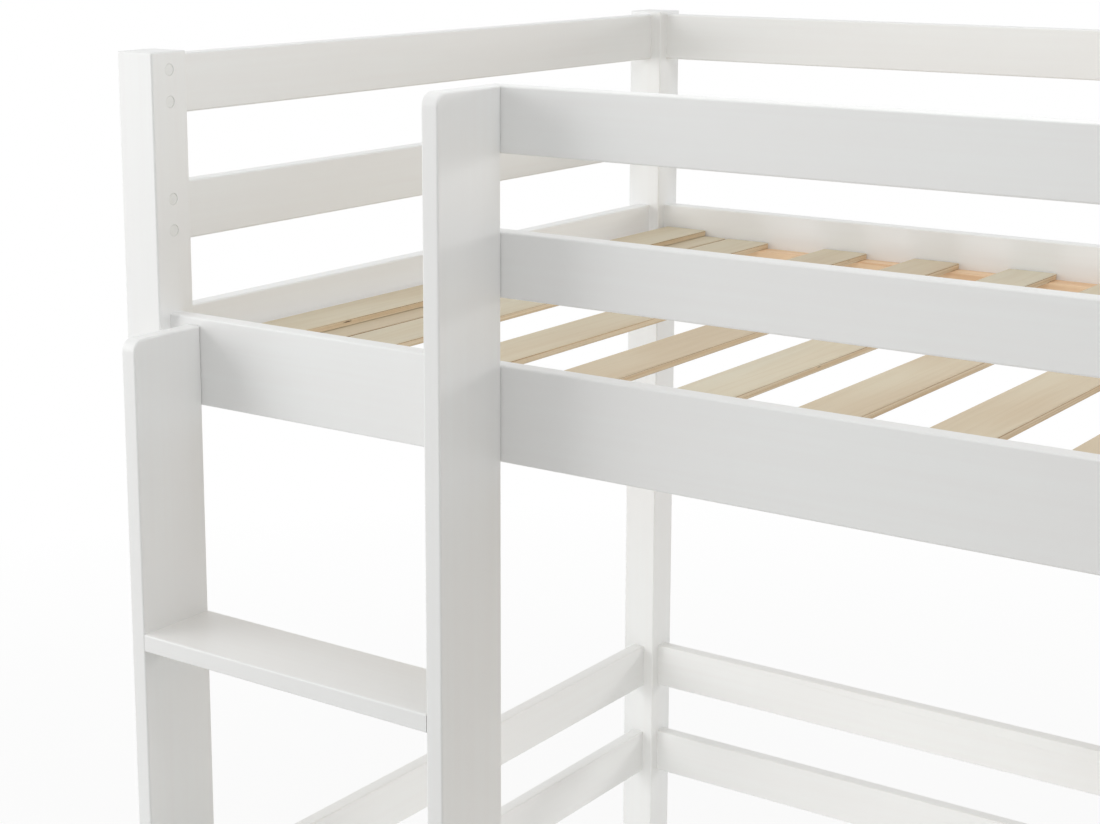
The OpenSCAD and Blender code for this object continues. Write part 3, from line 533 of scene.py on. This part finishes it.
def makeSlats(name, pieceName, along):
    whole = bmesh.new()
    for number, (low, high) in enumerate(islands(name)):
        spread = random.uniform(-slats["toneSpread"], slats["toneSpread"])
        tone = slats["tones"][number % len(slats["tones"])] + spread
        seed = [random.uniform(0, slats["seedRange"]) for axis in "XYZ"]
        strip = slatMesh(low, high, along, min(1, max(0, tone)), seed)
        whole.from_mesh(strip)
        bpy.data.meshes.remove(strip)
    bmesh.ops.recalc_face_normals(whole, faces=whole.faces)
    mesh = bpy.data.meshes.new(pieceName)
    whole.to_mesh(mesh)
    whole.free()
    mesh.materials.append(slatMaterial)
    piece = bpy.data.objects.new(pieceName, mesh)
    scene.collection.objects.link(piece)
    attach(piece, "root")
    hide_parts(name)


random.seed(slats["seed"])
makeSlats("upper_lapped_slat", "upperLappedSlat", 1)
makeSlats("upper_slats", "upperSlats", 1)
makeSlats("lower_slats", "lowerSlats", 0)
print("slats made")

studio = {
    "floorHalf": 30,  # metres
    "floorColour": "#f2f2f1",
    "floorGlow": (0.78, 1.0),  # how much of the floor is plain white to the camera; the rest takes shadows
    "glowReach": (1.5, 4.5),  # metres from the middle, from the first of those to the second
    "world": 0.442,  # strength of the room's light, level with the bed
    "worldTilt": (-0.118, 0, 0.324),  # the room is lighter above, and a little at the left
}
lamps = {  # power in watts; size, place and aim in metres
    "frontLeft": {"power": 33.8, "size": 2.2, "place": (-2.9, -1.5, 1.9), "aim": (-0.9, 0.4, 1.1)},
    "overhead": {"power": 7.8, "size": 1.2, "place": (0.1, 0.1, 2.7), "aim": (-0.3, 1.0, 1.1)},
    "backRight": {"power": 40, "size": 0.8, "place": (3.4, 3.6, 1.75), "aim": (-0.6, 0, 1.3)},
    "lowFill": {"power": 1.4, "size": 0.6, "place": (-0.5, 0.2, 0.5), "aim": (-0.5, 1.04, 0.5)},
}


def seenDirectly(tree, rays):
    # 1 where a ray comes straight from the camera or by one of the other kinds named
    path = addNode(tree, "ShaderNodeLightPath").outputs
    found = path["Is Camera Ray"]
    for ray in rays:
        links = {0: found, 1: path[ray]}
        found = addNode(tree, "ShaderNodeMath", {"operation": "MAXIMUM"}, links).outputs[0]
    return found


def makeFloor():
    material = bpy.data.materials.new("paleFloor")
    material.use_nodes = True
    tree = material.node_tree
    tree.nodes.clear()
    matte = addNode(tree, "ShaderNodeBsdfDiffuse", {"Color": studio["floorColour"]})
    glow = addNode(tree, "ShaderNodeEmission", {"Color": "#ffffff", "Strength": 1})
    place = addNode(tree, "ShaderNodeTexCoord").outputs["Object"]
    far = addNode(tree, "ShaderNodeVectorMath", {"operation": "LENGTH"}, {0: place}).outputs["Value"]
    near, end = studio["glowReach"]
    low, high = studio["floorGlow"]
    ends = {"From Min": near, "From Max": end, "To Min": low, "To Max": high}
    glowPart = addNode(tree, "ShaderNodeMapRange", ends, {0: far}).outputs[0]
    seen = seenDirectly(tree, ["Is Glossy Ray", "Is Transmission Ray"])
    part = addNode(tree, "ShaderNodeMath", {"operation": "MULTIPLY"}, {0: seen, 1: glowPart})
    links = {0: part.outputs[0], 1: matte.outputs[0], 2: glow.outputs[0]}
    both = addNode(tree, "ShaderNodeMixShader", links=links)
    addNode(tree, "ShaderNodeOutputMaterial", links={"Surface": both.outputs[0]})
    shape = bmesh.new()
    bmesh.ops.create_grid(shape, x_segments=1, y_segments=1, size=studio["floorHalf"])
    mesh = bpy.data.meshes.new("floor")
    shape.to_mesh(mesh)
    shape.free()
    mesh.materials.append(material)
    floor = bpy.data.objects.new("floor", mesh)
    scene.collection.objects.link(floor)


def makeWorld():
    world = bpy.data.worlds.new("studio")
    world.use_nodes = True
    scene.world = world
    tree = world.node_tree
    tree.nodes.clear()
    towards = addNode(tree, "ShaderNodeTexCoord").outputs["Generated"]
    tilt = {"operation": "DOT_PRODUCT", 1: studio["worldTilt"]}
    change = addNode(tree, "ShaderNodeVectorMath", tilt, {0: towards})
    level = addNode(tree, "ShaderNodeMath", {"operation": "ADD", 1: studio["world"]}, {0: change.outputs[1]})
    soft = addNode(tree, "ShaderNodeBackground", {"Color": "#ffffff"}, {"Strength": level.outputs[0]})
    plain = addNode(tree, "ShaderNodeBackground", {"Color": "#ffffff", "Strength": 1})
    seen = seenDirectly(tree, ["Is Glossy Ray", "Is Transmission Ray"])
    both = addNode(tree, "ShaderNodeMixShader", links={0: seen, 1: soft.outputs[0], 2: plain.outputs[0]})
    addNode(tree, "ShaderNodeOutputWorld", links={"Surface": both.outputs[0]})


def makeLamp(name):
    s = lamps[name]
    data = bpy.data.lights.new(name, "AREA")
    data.shape = "DISK"
    data.size = s["size"]
    data.energy = s["power"]
    lamp = bpy.data.objects.new(name, data)
    scene.collection.objects.link(lamp)
    lamp.location = s["place"]
    toAim = Vector(s["aim"]) - Vector(s["place"])
    lamp.rotation_euler = toAim.to_track_quat("-Z", "Y").to_euler()
    lamp.visible_camera = False


makeFloor()
makeWorld()
for lampName in lamps:
    makeLamp(lampName)
scene.view_settings.view_transform = "Standard"
print("studio set")
